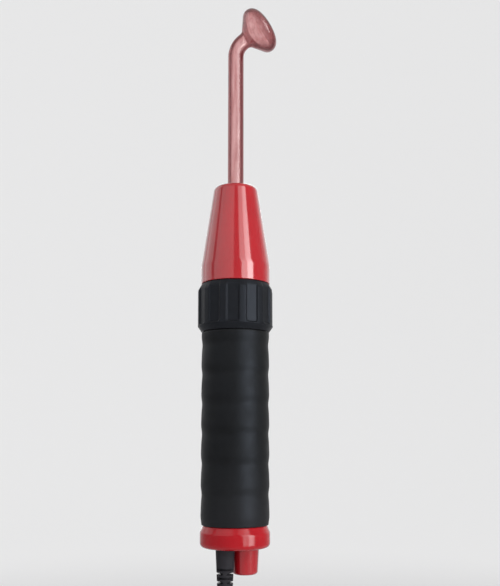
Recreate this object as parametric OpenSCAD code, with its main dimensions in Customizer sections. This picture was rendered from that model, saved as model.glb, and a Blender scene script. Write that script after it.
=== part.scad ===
// Hand-held high-frequency wand with a bent glass mushroom electrode.
// Millimetres, +Z up the handle. The origin is on the handle's axis at the middle of the grip.

/* [Handle] */
// Outer radius of the body tube
body_radius = 20.75; // [20.25:0.25:21]
// Wall of the body tube
body_wall = 2.25; // [1.5:0.25:2.75]
// Length of the grip sleeve
grip_length = 131.2; // [115:0.2:150]
// Mean thickness of the grip sleeve
grip_wall = 2.4; // [1.8:0.05:2.8]
// Height of the soft rings on the grip, to each side of the mean radius
grip_wave = 0.3; // [0.1:0.05:0.8]
// Spacing of the soft rings along the grip
grip_pitch = 20.4; // [14:0.2:28]

/* [Collar] */
// Thickness of the screwed collar outside the body tube
collar_wall = 5.45; // [4.9:0.05:6]
// Height of the collar
collar_height = 33.6; // [30:0.2:38]
// Number of finger flutes round the collar
flute_count = 12; // [8:1:16]
// Width of one flute
flute_width = 7.4; // [4:0.1:8]
// Depth of one flute
flute_depth = 1.3; // [0.3:0.1:1.6]
// Pitch of the collar's thread on the body tube
thread_pitch = 2; // [1.5:0.25:3]

/* [Nose] */
// Overhang of the nose's straight base outside the body tube
nose_step = 3.25; // [2.85:0.05:3.6]
// Height of the straight base above the collar
nose_band = 11; // [6:0.5:16]
// Height of the nose above the collar
nose_height = 69.8; // [62:0.2:76]
// Half angle of the nose's cone, in degrees
nose_taper = 8.8; // [7:0.2:10.5]
// Rounding of the nose's tip
nose_round = 3.5; // [2:0.25:5]

/* [Electrode] */
// Radius of the glass stem
stem_radius = 5.6; // [5.2:0.05:5.8]
// Wall of the glass
glass_wall = 1.1; // [0.8:0.1:1.4]
// Straight stem that shows above the nose's tip
stem_reach = 98; // [60:0.2:110]
// Radius of the bend on its centre line
bend_radius = 15; // [9:0.5:20]
// Angle of the bend, in degrees
bend_angle = 53; // [30:1:90]
// Direction of the bend about the stem, in degrees
bend_turn = 0; // [-180:5:180]
// Outer radius of the mushroom head
head_radius = 16.75; // [14:0.25:19]
// Radius of the head's rounded rim
head_rim = 5.5; // [4.8:0.05:6.2]
// Rise of the head's face above the middle of its rim
head_bulge = 7.1; // [6.6:0.1:8.2]
// Half angle of the cone behind the head, in degrees
head_flare = 50; // [45:1:60]

/* [End cap] */
// Thickness of the end cap's band outside the body tube
cap_wall = 3.05; // [2.6:0.05:4]
// Height of the end cap
cap_height = 14.6; // [14:0.2:18]
// Height of the bevel above the band
cap_bevel = 4.6; // [3:0.2:5.4]
// Rounding of the cap's lower edge
cap_round = 3; // [1.5:0.25:4]
// Radius of the knob where it meets the cap
knob_radius = 9.6; // [9:0.1:10]
// Height of the knob
knob_height = 18.6; // [17:0.2:24]
// Radius of the strain relief where it meets the cap
relief_radius = 6.45; // [6.2:0.05:6.7]
// Length of the strain relief below the cap
relief_length = 47.2; // [40:0.1:52]

/* [Cord] */
// Radius of the round mains cord
cord_radius = 3; // [2.8:0.05:3]
// Thickness of the strap that ties the hank
tie_wall = 1.4; // [0.8:0.1:2]
// Height of the strap
tie_height = 11; // [8:0.5:12]
// Length of the plug's blades
blade_length = 17; // [15:0.5:18]

/* [Mechanism] */
// Radius of the interrupter's iron core
core_radius = 4; // [3:0.25:4.25]
// Outer radius of the interrupter's winding
magnet_radius = 9; // [7:0.25:9.25]
// Air gap between the core and the armature
armature_gap = 2; // [1.5:0.1:2.4]
// Thickness of the secondary winding
secondary_depth = 3; // [1.5:0.25:4]
// Thickness of the primary winding
primary_depth = 3; // [1.5:0.25:4]
// Length of the primary winding
primary_length = 18; // [12:1:30]
// Gap between the primary winding and the body tube
coil_room = 1.5; // [1:0.25:2.5]

/* [Hidden] */
$fn = 64;
// Gap kept between pieces that move past each other
clear = 0.3;
// Overlap of shapes that are cut or joined
eps = 0.5;

// Levels along the handle
grip_top = grip_length / 2;
grip_low = -grip_top;
collar_low = grip_top + clear - 0.5;
collar_top = collar_low + collar_height;
nose_low = collar_top + clear;
nose_top = nose_low + nose_height;
cap_top = grip_low - 0.6;
cap_low = cap_top - cap_height;
cap_floor = cap_low + 4;
cap_ledge = cap_floor + 3.3;

// Body tube, collar and the walls that stand out from the tube
bore_radius = body_radius - body_wall;
grip_radius = body_radius + grip_wall;
collar_radius = body_radius + collar_wall;
nose_radius = body_radius + nose_step;
cap_radius = body_radius + cap_wall;
tooth_height = 0.4;
tooth_first = collar_low + 1.5;
thread_bore = body_radius + tooth_height + clear;
lip_low = collar_top - 3.3;
lip_radius = nose_radius - 2.5;
lip_room = collar_radius - 2.6;
step_level = lip_low - 7;
tube_top = step_level + 0.3;
tooth_count = floor((tube_top - tooth_first - 2) / thread_pitch);
collar_bevel_low = 4;
collar_bevel_top = 4.5;
flute_floor = collar_radius - flute_depth;
flute_low = collar_low + 5;
flute_first = 27;

// Nose
flange_radius = lip_room - clear;
flange_low = step_level + 1.5;
flange_top = lip_low - clear;
groove_radius = lip_radius - clear;
nose_hollow = groove_radius - 1.7;
gasket_height = 0.9;
base_round = 20;
base_level = nose_low + nose_band;
taper_reach = (nose_radius - base_round) * cos(nose_taper) + base_level * sin(nose_taper) + base_round;
tip_level = nose_top - nose_round;
tip_radius = (taper_reach - nose_round - tip_level * sin(nose_taper)) / cos(nose_taper);

// Electrode and its socket
socket_bore = stem_radius + 0.45;
socket_wall = 2.25;
socket_top = nose_top - 4.8;
socket_low = socket_top - 40;
pocket_low = socket_top - 14;
plug_in_low = socket_low + 4;
ring_radius = 0.95;
ring_level = plug_in_low + 3.1;
ring_centre = socket_bore - 0.05 - ring_radius;
groove_floor = ring_centre - ring_radius - 0.1;
cup_low = plug_in_low + 5.5;
cup_top = plug_in_low + 14.5;
cup_radius = stem_radius - 0.75;
neck_radius = cup_radius - 0.2;
neck_bore = neck_radius - 1.05;
bend_level = nose_top + stem_reach;

// Mushroom head, along its own axis
flare_round = 4.3;
weld = 0.05;
flare_centre = stem_radius + weld + flare_round;
rim_centre = head_radius - head_rim;
flare_run = rim_centre + (head_rim + flare_round) * cos(head_flare) - flare_centre;
rim_level = (head_rim + flare_round) * sin(head_flare) + flare_run / tan(head_flare);
dome_rise = head_bulge - head_rim;
dome_drop = (rim_centre * rim_centre - dome_rise * dome_rise) / (2 * dome_rise);
dome_radius = dome_drop + head_bulge;
dome_level = rim_level - dome_drop;
dome_angle = atan2(dome_drop, rim_centre);

// Knob and strain relief, side by side under the cap
knob_at = [6.8, 5, 0];
relief_at = [-6.5, -5, 0];
screw_ring = bore_radius - 3.3;
screw_at = [for (a = [132, -50]) [screw_ring * cos(a), screw_ring * sin(a), 0]];
screw_shank = 1.5;
screw_head = 3;
bush_radius = 4.2;
spindle_radius = 3;
screw_thread = 2.4;
neck_hole = 4.8;
knob_top = cap_low - 0.35;
knob_low = cap_low - knob_height;
knob_edge = 2;
knob_foot = knob_radius - 1.05;
bush_top = cap_floor + 6.1;
clip_level = bush_top + 0.35;
screw_start = bush_top + 3.2;
screw_reach = 9.5;
screw_end = screw_start + screw_reach;

// Chassis and interrupter
deck_top = cap_floor + 3;
plate_y = bore_radius - 6.2;
plate_depth = 2.3;
plate_half = 8.6;
lug_y = 6.5;
lug_depth = 3.5;
lug_inner = 5;
disc_height = 2.5;
nut_low = screw_start + 3;
nut_top = screw_end + 2.5;
nut_tip = nut_top + 4.8;
leaf_low = nut_tip + 1.1;
leaf_height = 0.5;
contact_radius = 2;
contact_top = leaf_low + leaf_height + 1.3;
beam_low = contact_top + 2.3;
beam_height = 2;
beam_top = beam_low + beam_height;
pin_radius = 1;
beam_end = 8;
beam_half = 5;
beam_pin = [6 - bore_radius, 0, beam_low + beam_height / 2];
core_low = beam_top + armature_gap;
core_length = 25.5;
core_top = core_low + core_length;
cheek = 1.5;
cheek_radius = magnet_radius + 0.5;
yoke_top = core_top + 2;
store_low = yoke_top + 2.5;
store_height = 16;
store_half = 9;
store_front = -3.5;
store_top = store_low + store_height;
coil_gap = 4;
coil_drop = 4.3;
coil_low = store_top + coil_gap;
coil_top = tube_top - coil_drop;
form_wall = 2;
foot_length = 6;
lead_length = 12;
secondary_radius = bore_radius - coil_room - primary_depth;
primary_radius = secondary_radius + primary_depth;
form_radius = secondary_radius - secondary_depth;
winding_low = coil_low + foot_length;
winding_top = coil_top - lead_length;

// Cord route below the strain relief, drawn for its end at [-7.5, -5, -128] and moved with it
relief_low = cap_low - relief_length;
cord_shift = relief_at + [7.5, 5, relief_low + 128];
lead_path = [
    [-7.5, -5, -128], [-7.5, -5, -134], [-8.2, -4.4, -140.5], [-10.2, -2.5, -147],
    [-13.2, 0.2, -153.5], [-16.8, 3.5, -160], [-20.3, 6.7, -166.5], [-23.3, 9.5, -173],
    [-25.3, 11.4, -179.5], [-26, 12, -186], [-26, 12, -192]
];
hank_x = -8;
hank_y = 12;
hank_top = -198;
hank_run = 104;
hank_low = hank_top - hank_run;
hank_waist = hank_top - hank_run / 2;
hank_loops = 5;
hank_step = 6.6;
fold_radius = 18;
waist_half = 6;
ring_steps = 6;
hank_last = hank_y - hank_loops * hank_step;
hank_end = [hank_x - waist_half, hank_last, hank_waist - 6];
tail_path = [
    [-14, -21, -256], [-14, -21, -262], [-14, -22, -269], [-14, -24.5, -276],
    [-14, -27, -283], [-14, -28, -290], [-14, -28, -296]
];
plug_at = [-14, -28, -296];
plug_neck = 14;
plug_length = 44;
blade_gap = 12.7;

// Wires inside the handle
wire_radius = 0.9;
post_x = -1;
post_depth = 3.8;
wire_back = plate_y - post_depth / 2;
cord_top = cap_floor + 11.3;
wire_a = [
    relief_at + [-1.1, 0, cord_top], relief_at + [-1.1, 0, cord_top + 3], [-8.4, 0, cord_top + 6],
    [-7.5, wire_back - 3.4, leaf_low - 3],
    [-5, wire_back, leaf_low - 1.4], [-3, wire_back, leaf_low - 1.4], [post_x, wire_back, leaf_low - 1.4]
];
wire_x = bore_radius - 5.5;
wire_y = bore_radius - 8.5;
wire_b = [
    relief_at + [1.1, 0, cord_top], relief_at + [1.1, 0, cord_top + 3],
    [3.5 - wire_x, 2 - wire_y, cord_top + 8], [0.4 - wire_x, 0.5 - wire_y, cord_top + 16],
    [-wire_x, -wire_y, beam_low], [-wire_x, -wire_y, core_low + 12],
    [0.5 - wire_x, 1 - wire_y, core_top - 3.5],
    [0.8 - wire_x, 2 - wire_y, core_top + 0.8], [-9.5, -4, store_low - 2],
    [-8, -2, store_low - 0.8], [-8, -2, store_low]
];

// Points of an arc about (x, y), from angle a to angle b
function arc(x, y, r, a, b, n) =
    [for (i = [0:n]) [x + r * cos(a + (b - a) * i / n), y + r * sin(a + (b - a) * i / n)]];

function unit(v) = v / norm(v);

// Direction of a path at its point i
function heading(path, i) = unit(path[min(i + 1, len(path) - 1)] - path[max(i - 1, 0)]);

// One ring of a swept tube, square to the path
function tube_ring(centre, along, side, r, sides) =
    let (u = unit(cross(side, along)), v = cross(along, u))
    [for (k = [0:sides - 1]) centre + r * (cos(360 * k / sides) * u + sin(360 * k / sides) * v)];

// Half width of the hank along a run, drawn in at the waist
function run_half(u) = fold_radius - (fold_radius - waist_half) * pow(sin(180 * u), 2);

function loop_y(k) = hank_y - k * hank_step;

function run_down(k, last) = [
    for (j = [0:last])
    [hank_x - run_half(j / ring_steps), loop_y(k), hank_top - hank_run * j / ring_steps]
];

function fold_low(k) = [
    for (j = [0:ring_steps - 1])
    [hank_x - fold_radius * cos(180 * j / ring_steps), loop_y(k),
     hank_low - fold_radius * sin(180 * j / ring_steps)]
];

function run_up(k) = [
    for (j = [0:ring_steps - 1])
    [hank_x + run_half(j / ring_steps), loop_y(k) - hank_step * j / ring_steps,
     hank_low + hank_run * j / ring_steps]
];

function fold_high(k) = [
    for (j = [0:ring_steps - 1])
    [hank_x + fold_radius * cos(180 * j / ring_steps), loop_y(k + 1),
     hank_top + fold_radius * sin(180 * j / ring_steps)]
];

hank_path = concat(
    [[hank_x - fold_radius, hank_y, hank_top + 6]],
    [for (k = [0:hank_loops - 1])
        each concat(run_down(k, ring_steps - 1), fold_low(k), run_up(k), fold_high(k))],
    run_down(hank_loops, ring_steps / 2),
    [hank_end]
);

// Least gap of the hank to itself, measured between points more than a quarter loop apart
hank_gap = min([
    for (i = [0:len(hank_path) - 1]) for (j = [i + ring_steps:1:len(hank_path) - 1])
    norm(hank_path[i] - hank_path[j])
]) - 2 * cord_radius;
echo(hank_gap = hank_gap);

// Profile of the mushroom head at a depth w inside the glass, from a weld round the end of the bend
function head_side(w) = concat(
    [[flare_centre - flare_round - w, -0.5]],
    arc(flare_centre, 0, flare_round + w, 180, 180 - head_flare, 6),
    arc(rim_centre, rim_level, head_rim - w, -head_flare, dome_angle, 12),
    arc(0, dome_level, dome_radius - w, dome_angle, 90, 6)
);

// Points of a list in the opposite order
function turned(list) = [for (i = [len(list) - 1:-1:0]) list[i]];

// Outline of a rectangle with rounded corners
function pad(x0, y0, x1, y1, r) = concat(
    arc(x1 - r, y1 - r, r, 0, 90, 6), arc(x0 + r, y1 - r, r, 90, 180, 6),
    arc(x0 + r, y0 + r, r, 180, 270, 6), arc(x1 - r, y0 + r, r, 270, 360, 6)
);

module lathe(points) {
    rotate_extrude() polygon(points);
}

module ring(outer, inner, low, high) {
    rotate_extrude() translate([inner, low]) square([outer - inner, high - low]);
}

module rod(r, low, high) {
    translate([0, 0, low]) cylinder(r = r, h = high - low);
}

module block(low, high) {
    translate(low) cube(high - low);
}

// A round tube along a path, with flat ends
module tube(path, r, sides, side) {
    count = len(path);
    last = (count - 1) * sides;
    points = [for (i = [0:count - 1]) each tube_ring(path[i], heading(path, i), side, r, sides)];
    walls = [
        for (i = [0:count - 2]) for (k = [0:sides - 1])
        let (a = i * sides + k, b = i * sides + (k + 1) % sides)
        each [[a, a + sides, b], [b, a + sides, b + sides]]
    ];
    ends = concat(
        [for (k = [1:sides - 2]) [0, k, k + 1]],
        [for (k = [1:sides - 2]) [last, last + k + 1, last + k]]
    );
    polyhedron(points, concat(walls, ends));
}

// Phenolic body tube with the collar's thread at its upper end
module body_tube() {
    teeth = [
        for (i = [0:tooth_count - 1])
        each [
            [body_radius, tooth_first + i * thread_pitch],
            [body_radius + tooth_height, tooth_first + (i + 0.4) * thread_pitch],
            [body_radius + tooth_height, tooth_first + (i + 0.55) * thread_pitch],
            [body_radius, tooth_first + (i + 0.95) * thread_pitch]
        ]
    ];
    color("#2b2522") lathe(concat(
        [[bore_radius, cap_ledge], [body_radius, cap_ledge]],
        teeth,
        [[body_radius, tube_top], [bore_radius, tube_top]]
    ));
}

// Soft rubber sleeve with shallow rings, pushed over the body tube
module grip_sleeve() {
    steps = 72;
    crest = 2;
    lean = 35;
    wave = [
        for (i = [0:steps])
        let (z = grip_low - 0.5 + grip_length * i / steps, turn = 360 * (z - crest) / grip_pitch)
        [grip_radius + grip_wave * cos(turn + lean * (cos(turn) - 1)), z]
    ];
    color("#26282a") lathe(concat(
        [[body_radius, grip_low - 0.5]], wave, [[body_radius, grip_top - 0.5]]
    ));
}

// Red end cap, a cup on the lower end of the body tube
module end_cap() {
    color("#b32732") difference() {
        lathe(concat(
            [[0, cap_floor], [0, cap_low]],
            arc(cap_radius - cap_round, cap_low + cap_round, cap_round, -90, 0, 6),
            [
                [cap_radius, cap_top - cap_bevel], [cap_radius - 2.1, cap_top], [body_radius, cap_top],
                [body_radius, cap_ledge], [bore_radius - 1, cap_ledge], [bore_radius - 1, cap_floor]
            ]
        ));
        translate(knob_at) rod(bush_radius, cap_low - eps, cap_floor + eps);
        translate(relief_at) rod(neck_hole, cap_low - eps, cap_floor + eps);
        for (at = screw_at) translate(at) screw_shape(eps);
    }
}

// Countersunk screw from the cap's underside up into the chassis
module screw_shape(more) {
    translate([0, 0, cap_low - more]) cylinder(r = screw_head, h = more);
    lathe([
        [0, cap_low], [screw_head, cap_low], [screw_shank, cap_low + 1.6],
        [screw_shank, deck_top], [0, deck_top]
    ]);
}

module end_cap_screws() {
    color("#b9bcc0") for (at = screw_at) translate(at) difference() {
        screw_shape(0);
        block([-2.2, -0.4, cap_low - eps], [2.2, 0.4, cap_low + 0.9]);
    }
}

// Brass bush that carries the knob's spindle
module knob_bush() {
    color("#b08d46") translate(knob_at) ring(bush_radius, spindle_radius + 0.05, cap_low, bush_top);
}

module bush_nut() {
    color("#b08d46") translate(knob_at) difference() {
        translate([0, 0, deck_top]) cylinder(r = 6.2, h = 2.6, $fn = 6);
        rod(bush_radius, deck_top - eps, deck_top + 3);
    }
}

// Tapered rubber boot with rows of slots turned a quarter turn from row to row
module strain_relief() {
    row_first = cap_low - 13.8;
    row_pitch = 2.8;
    row_count = floor((relief_length - 18.5) / row_pitch) + 1;
    web = 3.2;
    color("#232426") translate(relief_at) difference() {
        lathe([
            [cord_radius, relief_low], [3.9, relief_low], [4.3, relief_low + 1],
            [relief_radius, cap_low], [neck_hole, cap_low], [neck_hole, deck_top],
            [6.2, deck_top], [6.2, deck_top + 2], [cord_radius, deck_top + 2]
        ]);
        for (i = [0:row_count - 1])
            rotate([0, 0, 90 * (i % 2)])
            translate([0, 0, row_first - i * row_pitch])
            for (s = [-1, 1])
                translate([-8, s > 0 ? web / 2 : -8, -0.62]) cube([16, 8 - web / 2, 1.24]);
    }
}

// The held stretch of the cord, through the strain relief and the clamp
module cord_entry() {
    color("#1c1d1f") translate(relief_at) rod(cord_radius, relief_low, cord_top);
}

// Split ring that grips the cord above the strain relief
module cord_clamp() {
    color("#d8d2c0") translate(relief_at) difference() {
        union() {
            rod(5.4, deck_top + 2, deck_top + 7);
            block([-2.2, -7.6, deck_top + 2], [2.2, -4, deck_top + 7]);
        }
        rod(cord_radius, deck_top, deck_top + 8);
        block([-0.5, -9, deck_top + 1], [0.5, 0, deck_top + 8]);
    }
}

// Insulating deck with an upright plate that carries the interrupter
module chassis() {
    color("#6b4a2f") difference() {
        union() {
            rod(bore_radius - 1.2, cap_floor, deck_top);
            block([-plate_half, plate_y, deck_top - eps], [plate_half, plate_y + plate_depth, coil_low]);
            block([-plate_half, lug_y, beam_low - 2], [-lug_inner, plate_y + eps, beam_top + 2]);
            block([3.9 - bore_radius, lug_y, beam_low - 2], [-lug_inner, lug_y + lug_depth, beam_top + 2]);
        }
        translate(beam_pin + [0, 12, 0]) rotate([90, 0, 0]) cylinder(r = pin_radius, h = 8);
        translate(knob_at) rod(bush_radius, cap_floor - eps, deck_top + eps);
        translate(relief_at) rod(neck_hole, cap_floor - eps, deck_top + eps);
        for (at = screw_at) translate(at) rod(screw_shank, cap_floor - eps, deck_top + eps);
    }
}

module magnet_core() {
    color("#7d8084") rod(core_radius, core_low, core_top);
}

module magnet_bobbin() {
    color("#c9b78f") lathe([
        [core_radius, core_low + 0.5], [cheek_radius, core_low + 0.5], [cheek_radius, core_low + 0.5 + cheek],
        [core_radius + 0.8, core_low + 0.5 + cheek], [core_radius + 0.8, core_top - cheek],
        [cheek_radius, core_top - cheek], [cheek_radius, core_top], [core_radius, core_top]
    ]);
}

module magnet_winding() {
    color("#a8622f") ring(magnet_radius, core_radius + 0.8, core_low + 0.5 + cheek, core_top - cheek);
}

// Iron bracket that holds the core off the chassis plate
module magnet_yoke() {
    color("#85888c") block([-6, -6, core_top], [6, plate_y, yoke_top]);
}

module armature_pin() {
    color("#9a9da1") translate(beam_pin + [0, lug_y + lug_depth, 0])
        rotate([90, 0, 0]) cylinder(r = pin_radius, h = 15);
}

module contact_post() {
    color("#6b4a2f") block([post_x, plate_y - post_depth, leaf_low - 2.9], [9, plate_y, leaf_low]);
}

module contact_leaf() {
    color("#b98a3e") block([1, -3, leaf_low], [9, plate_y, leaf_low + leaf_height]);
}

module fixed_contact() {
    color("#8c9095") translate([4, 0, 0]) rod(contact_radius, leaf_low + leaf_height, contact_top);
}

module capacitor() {
    color("#8a7648") translate([0, 0, store_low]) linear_extrude(store_top - store_low)
        polygon(pad(-store_half, store_front, store_half, plate_y, 2));
}

module supply_leads() {
    color("#33415e") tube(wire_a, wire_radius, 6, [0.3, -0.2, 1]);
    color("#5e3333") tube(wire_b, wire_radius, 6, [1, -1, 0.1]);
    color("#33415e") translate([5, 4, 0]) rod(wire_radius, store_top, coil_low);
}

module coil_form() {
    color("#6b4a2f") ring(form_radius, form_radius - form_wall, coil_low + disc_height, coil_top);
}

module secondary_winding() {
    color("#a8622f") ring(secondary_radius, form_radius, winding_low, winding_top);
}

module primary_winding() {
    color("#8a4f26") ring(primary_radius, secondary_radius, winding_low, winding_low + primary_length);
}

// Two discs that centre the coil in the body tube
module coil_discs() {
    color("#d6cbb0") rod(bore_radius, coil_low, coil_low + disc_height);
    color("#d6cbb0") rod(bore_radius, coil_top, coil_top + disc_height);
}

module hv_terminal() {
    tip = socket_low - 1.4;
    color("#b08d46") lathe([
        [0, coil_top + disc_height], [5, coil_top + disc_height], [5, coil_top + disc_height + 2],
        [2.5, coil_top + disc_height + 3], [2.5, tip - 1], [1.5, tip], [0, tip]
    ]);
}

module knob() {
    color("#b32732") translate(knob_at) difference() {
        lathe(concat(
            [[spindle_radius, knob_low + 4.6], [0, knob_low + 4.6], [0, knob_low]],
            arc(knob_foot - knob_edge, knob_low + knob_edge, knob_edge, -90, 0, 6),
            [[knob_radius, knob_top], [spindle_radius, knob_top]]
        ));
        translate([0, 0, knob_low + 10.5]) rotate([-90, 0, 0]) cylinder(r = 1.5, h = 12);
    }
}

module adjuster_spindle() {
    groove = 0.5;
    color("#9a9da1") translate(knob_at) lathe([
        [0, knob_low + 4.6], [spindle_radius, knob_low + 4.6], [spindle_radius, clip_level],
        [spindle_radius - groove, clip_level], [spindle_radius - groove, clip_level + 0.8],
        [spindle_radius, clip_level + 0.8], [spindle_radius, screw_start],
        [screw_thread, screw_start], [screw_thread, screw_end], [0, screw_end]
    ]);
}

module knob_set_screw() {
    color("#55585c") translate(knob_at + [0, spindle_radius, knob_low + 10.5]) rotate([-90, 0, 0])
        difference() {
            cylinder(r = 1.5, h = 5);
            translate([0, 0, 3.6]) cylinder(r = 0.75, h = 2, $fn = 6);
        }
}

module spindle_clip() {
    color("#85888c") translate(knob_at) difference() {
        ring(4.4, spindle_radius - 0.5, clip_level, clip_level + 0.8);
        block([-1.6, -6, clip_level - eps], [1.6, 0, clip_level + 2]);
    }
}

// Block that climbs the spindle's thread, kept from turning by the chassis plate
module adjuster_nut() {
    color("#d8d2c0") translate(knob_at) difference() {
        union() {
            block([-4.5, -4, nut_low], [4.5, plate_y - clear - knob_at[1], nut_top]);
            rod(1.5, nut_top - eps, nut_tip);
        }
        rod(screw_thread + 0.05, nut_low - eps, screw_end + 1.3);
    }
}

// Iron beam that swings on its pin under the core
module armature() {
    color("#7d8084") difference() {
        union() {
            block([beam_pin[0] + pin_radius, -beam_half, beam_low], [beam_end, beam_half, beam_top]);
            translate(beam_pin + [0, 4, 0]) rotate([90, 0, 0]) cylinder(r = pin_radius + 1.4, h = 8);
        }
        translate(beam_pin + [0, 6, 0]) rotate([90, 0, 0]) cylinder(r = pin_radius + 0.06, h = 12);
    }
}

module moving_contact() {
    color("#8c9095") translate([4, 0, 0]) rod(contact_radius, beam_low - 1.2, beam_low);
}

module nose_cone() {
    color("#b32732") lathe(concat(
        [
            [nose_hollow, flange_low], [flange_radius, flange_low], [flange_radius, flange_top],
            [groove_radius, flange_top], [groove_radius, nose_low], [nose_radius, nose_low]
        ],
        arc(nose_radius - base_round, base_level, base_round, 0, nose_taper, 4),
        arc(tip_radius, tip_level, nose_round, nose_taper, 90, 8),
        [
            [socket_bore, nose_top], [socket_bore, socket_top],
            [socket_bore + socket_wall, socket_top], [socket_bore + socket_wall, pocket_low],
            [socket_bore + socket_wall + 3.6, pocket_low], [nose_hollow, base_level + 3]
        ]
    ));
}

module nose_gasket() {
    color("#3a3b3d") ring(nose_hollow + 1.6, nose_hollow + 0.2, flange_low - gasket_height, flange_low);
}

// Insulating tube that takes the foot of the electrode
module electrode_socket() {
    color("#d6cbb0") lathe([
        [0, socket_low], [socket_bore + socket_wall, socket_low], [socket_bore + socket_wall, socket_top],
        [socket_bore, socket_top], [socket_bore, socket_low + 3], [0, socket_low + 3]
    ]);
}

module socket_leaf() {
    color("#b98a3e") block([-6, -2, socket_low - 0.6], [6, 2, socket_low]);
}

// Fluted ring that clamps the nose to the body tube
module collar_ring() {
    color("#2f3134") difference() {
        lathe([
            [thread_bore, collar_low], [collar_radius - 2.8, collar_low],
            [collar_radius, collar_low + collar_bevel_low], [collar_radius, collar_top - collar_bevel_top],
            [collar_radius - 2.6, collar_top], [lip_radius, collar_top], [lip_radius, lip_low],
            [lip_room, lip_low], [lip_room, step_level], [thread_bore, step_level]
        ]);
        for (i = [0:flute_count - 1])
            rotate([0, 0, flute_first + 360 * i / flute_count])
            translate([0, -flute_floor, 0]) rotate([90, 0, 0])
            linear_extrude(4) polygon(pad(-flute_width / 2, flute_low, flute_width / 2, collar_top + 5, 1.3));
    }
}

module electrode_seal_ring() {
    color("#3a3b3d") rotate_extrude() translate([ring_centre, ring_level]) circle(r = ring_radius);
}

// Hollow glass: straight stem, bend and mushroom head
module electrode_glass() {
    bore = stem_radius - glass_wall;
    color("#e3a9a6") rotate([0, 0, bend_turn]) union() {
        lathe([
            [neck_bore, cup_low], [neck_radius, cup_low], [neck_radius, cup_top + 0.5],
            [stem_radius, cup_top + 2.5], [stem_radius, bend_level], [bore, bend_level],
            [bore, cup_top + 3.5], [neck_bore, cup_top + 1.5]
        ]);
        translate([bend_radius, 0, bend_level]) rotate([90, 0, 0])
            rotate_extrude(angle = bend_angle, start = 180 - bend_angle)
            translate([bend_radius, 0]) difference() {
                circle(r = stem_radius);
                circle(r = bore);
            }
        translate([bend_radius, 0, bend_level]) rotate([0, bend_angle, 0]) translate([-bend_radius, 0, 0])
            lathe(concat(head_side(0), turned(head_side(glass_wall + 2 * weld))));
    }
}

module electrode_ferrule() {
    groove_half = 1.1;
    color("#b9bcc0") lathe([
        [0, plug_in_low], [stem_radius - 0.5, plug_in_low], [stem_radius, plug_in_low + 0.5],
        [stem_radius, ring_level - groove_half], [groove_floor, ring_level - groove_half],
        [groove_floor, ring_level + groove_half], [stem_radius, ring_level + groove_half],
        [stem_radius, cup_top], [cup_radius, cup_top], [cup_radius, cup_low], [0, cup_low]
    ]);
}

module electrode_cement() {
    color("#d9d4c6") ring(cup_radius, neck_radius, cup_low, cup_top);
}

module electrode_lead_in() {
    color("#9a9da1") rod(0.6, cup_low, cup_top + 12);
}

module cord_lead() {
    color("#1c1d1f") translate(cord_shift) tube(lead_path, cord_radius, 10, [0, 1, 0]);
}

module cord_hank() {
    color("#1c1d1f") translate(cord_shift) tube(hank_path, cord_radius, 6, [0, 1, 0]);
}

module cord_tail() {
    color("#1c1d1f") translate(cord_shift) tube(tail_path, cord_radius, 10, [0, 1, 0]);
}

// Strap round the waist of the hank
module hank_tie() {
    half = waist_half + 3.9;
    wide = half + tie_wall;
    front = hank_last - 3.3;
    back = hank_y + 3.3;
    color("#3c3f44") translate(cord_shift + [0, 0, hank_waist - tie_height / 2])
        linear_extrude(tie_height) difference() {
            polygon(pad(hank_x - wide, front - tie_wall, hank_x + wide, back + tie_wall, 4));
            polygon(pad(hank_x - half, front, hank_x + half, back, 2.8));
        }
}

// Moulded two-pole plug, hanging blades down
module plug_body() {
    half = 12.5;
    color("#1c1d1f") translate(cord_shift + plug_at) union() {
        translate([0, 0, -plug_neck]) cylinder(r1 = 6, r2 = 3.8, h = plug_neck);
        translate([0, 7, 0]) rotate([90, 0, 0]) linear_extrude(14) polygon(concat(
            [[-6.5, -plug_neck + 1], [-half, -plug_neck - 10]],
            arc(-half + 2, -plug_length + 2, 2, 180, 270, 5),
            arc(half - 2, -plug_length + 2, 2, 270, 360, 5),
            [[half, -plug_neck - 10], [6.5, -plug_neck + 1]]
        ));
    }
}

module plug_blades() {
    color("#b08d46") for (s = [-1, 1])
        translate(cord_shift + plug_at + [s * blade_gap / 2, 0, -plug_length - blade_length]) difference() {
            translate([-0.75, -3.175, 0]) cube([1.5, 6.35, blade_length]);
            translate([-2, 0, 4]) rotate([0, 90, 0]) cylinder(r = 1.5, h = 4);
        }
}

body_tube();
grip_sleeve();
end_cap();
end_cap_screws();
knob_bush();
bush_nut();
strain_relief();
cord_entry();
cord_clamp();
chassis();
magnet_core();
magnet_bobbin();
magnet_winding();
magnet_yoke();
armature_pin();
contact_post();
contact_leaf();
fixed_contact();
capacitor();
supply_leads();
coil_form();
primary_winding();
secondary_winding();
coil_discs();
hv_terminal();
knob();
adjuster_spindle();
knob_set_screw();
spindle_clip();
adjuster_nut();
armature();
moving_contact();
nose_cone();
nose_gasket();
electrode_socket();
socket_leaf();
collar_ring();
electrode_seal_ring();
electrode_glass();
electrode_ferrule();
electrode_cement();
electrode_lead_in();
cord_lead();
cord_hank();
cord_tail();
hank_tie();
plug_body();
plug_blades();
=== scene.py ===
import math

import bmesh
import bpy
from mathutils import Matrix, Vector


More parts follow.
